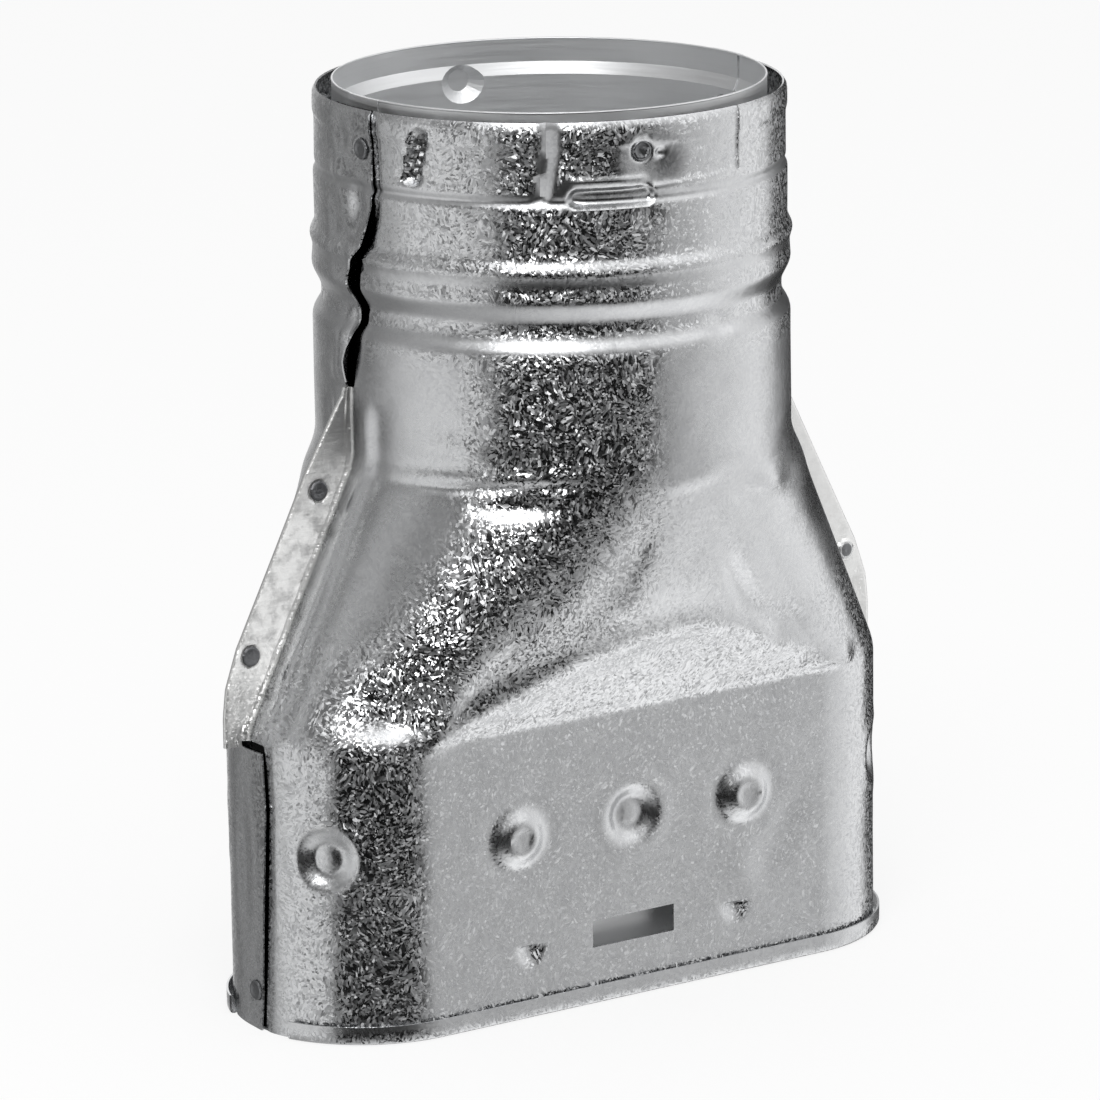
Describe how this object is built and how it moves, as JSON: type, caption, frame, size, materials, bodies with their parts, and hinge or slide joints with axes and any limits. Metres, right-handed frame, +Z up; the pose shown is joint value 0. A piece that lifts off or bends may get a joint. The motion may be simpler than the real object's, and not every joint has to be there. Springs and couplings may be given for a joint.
{
  "type": "oval to round flue adapter",
  "caption": "Double-wall gas vent adapter from an oval end to a round collar: two lapped steel casing halves with folded side fins around a two-piece aluminium liner.",
  "frame": {"origin": "under the middle of the oval end, at the height of the lower hem", "axes": "+X along the oval's long axis, -Y out of the front stamping, +Z up the flue towards the round collar"},
  "size_m": [0.1904, 0.1174, 0.2232],
  "materials": {
    "galvanised_steel": "zinc coated, fine spangle, satin",
    "aluminium_liner": "smooth satin"
  },
  "bodies": {
    "root": {"casing_front": "galvanised_steel", "casing_rear": "galvanised_steel", "liner_front": "aluminium_liner", "liner_rear": "aluminium_liner"}
  },
  "joints": []
}
